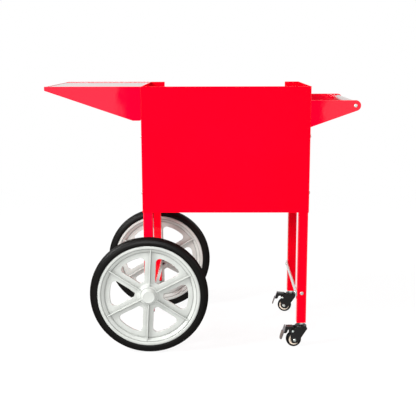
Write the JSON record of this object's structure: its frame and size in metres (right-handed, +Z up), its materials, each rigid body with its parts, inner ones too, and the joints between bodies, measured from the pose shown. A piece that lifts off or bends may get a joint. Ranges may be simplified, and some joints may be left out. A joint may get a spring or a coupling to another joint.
{
  "type": "popcorn cart",
  "caption": "Wheeled cart for a table-top popcorn machine: open-backed cabinet with a recessed deck, side shelf, push handle, spoked wheels and braked casters.",
  "frame": {"origin": "on the floor at the centre of the whole cart's plan box", "axes": "+X from the side shelf towards the push handle, +Y from the closed front to the open back, +Z up"},
  "size_m": [0.946, 0.5028, 0.8175],
  "materials": {
    "red_enamel": "gloss",
    "stainless": "brushed",
    "zinc": "satin",
    "black_steel": "satin",
    "black_zinc": "satin",
    "grey_plastic": "satin",
    "tyre_rubber": "satin",
    "nylon": "matte",
    "cream_plastic": "satin",
    "black_plastic": "matte",
    "pad_rubber": "matte"
  },
  "bodies": {
    "cart": {"front_panel": "red_enamel", "left_side_panel": "red_enamel", "right_side_panel": "red_enamel", "deck": "red_enamel", "storage_floor": "red_enamel", "front_left_leg": "red_enamel", "rear_left_leg": "red_enamel", "front_right_leg": "red_enamel", "rear_right_leg": "red_enamel", "left_stretcher": "zinc", "right_stretcher": "zinc", "panel_bolts": "zinc", "leg_rivet_nuts": "zinc", "tray_bolts": "zinc", "stretcher_screws": "zinc", "stretcher_nuts": "black_zinc", "axle_blocks": "zinc", "leg_plugs": "black_plastic", "leg_face_bolts": "zinc", "caster_sockets": "zinc", "axle_spacers": "zinc", "axle_washers": "zinc", "axle_nuts": "zinc", "shelf_nose": "red_enamel", "shelf_top": "stainless", "shelf_studs": "zinc", "shelf_bolts": "zinc", "shelf_wing_front": "red_enamel", "shelf_wing_rear": "red_enamel", "handle_tube": "stainless", "handle_end_bolts": "zinc", "handle_bolts": "zinc", "handle_plate_front": "red_enamel", "handle_plate_rear": "red_enamel", "front_axle": "zinc", "rear_axle": "zinc", "front_caster_stem": "zinc", "rear_caster_stem": "zinc"},
    "front_wheel": {"front_wheel_rim": "grey_plastic", "front_wheel_tyre": "tyre_rubber", "front_wheel_cap": "grey_plastic", "front_wheel_bushes": "nylon"},
    "rear_wheel": {"rear_wheel_rim": "grey_plastic", "rear_wheel_tyre": "tyre_rubber", "rear_wheel_cap": "grey_plastic", "rear_wheel_bushes": "nylon"},
    "front_caster": {"front_caster_fork": "black_steel", "front_caster_axle": "zinc", "front_brake_pin": "zinc"},
    "front_caster_wheel": {"front_caster_tyre": "tyre_rubber", "front_caster_core": "cream_plastic"},
    "front_brake": {"front_brake_pedal": "black_zinc", "front_pedal_pad": "pad_rubber"},
    "rear_caster": {"rear_caster_fork": "black_steel", "rear_caster_axle": "zinc", "rear_brake_pin": "zinc"},
    "rear_caster_wheel": {"rear_caster_tyre": "tyre_rubber", "rear_caster_core": "cream_plastic"},
    "rear_brake": {"rear_brake_pedal": "black_zinc", "rear_pedal_pad": "pad_rubber"}
  },
  "joints": [
    {"name": "front_wheel_spin", "type": "hinge", "parent": "cart", "child": "front_wheel", "pos_m": [-0.1664, -0.2244, 0.183], "axis": [0, 1, 0], "continuous": true},
    {"name": "rear_wheel_spin", "type": "hinge", "parent": "cart", "child": "rear_wheel", "pos_m": [-0.1664, 0.2244, 0.183], "axis": [0, 1, 0], "continuous": true},
    {"name": "front_caster_swivel", "type": "hinge", "parent": "cart", "child": "front_caster", "pos_m": [0.3079, -0.1714, 0.067], "axis": [0, 0, 1], "continuous": true},
    {"name": "front_caster_roll", "type": "hinge", "parent": "front_caster", "child": "front_caster_wheel", "pos_m": [0.28562, -0.17453, 0.024], "axis": [-0.1392, 0.9903, 0], "continuous": true},
    {"name": "front_brake_press", "type": "hinge", "parent": "front_caster", "child": "front_brake", "pos_m": [0.27968, -0.17537, 0.053], "axis": [0.1392, -0.9903, 0], "range_deg": [0, 14], "stiffness_Nm_per_rad": 0.25},
    {"name": "rear_caster_swivel", "type": "hinge", "parent": "cart", "child": "rear_caster", "pos_m": [0.3079, 0.1714, 0.067], "axis": [0, 0, 1], "continuous": true},
    {"name": "rear_caster_roll", "type": "hinge", "parent": "rear_caster", "child": "rear_caster_wheel", "pos_m": [0.28581, 0.17569, 0.024], "axis": [0.1908, 0.9816, 0], "continuous": true},
    {"name": "rear_brake_press", "type": "hinge", "parent": "rear_caster", "child": "rear_brake", "pos_m": [0.27992, 0.17684, 0.053], "axis": [-0.1908, -0.9816, 0], "range_deg": [0, 14], "stiffness_Nm_per_rad": 0.25}
  ]
}
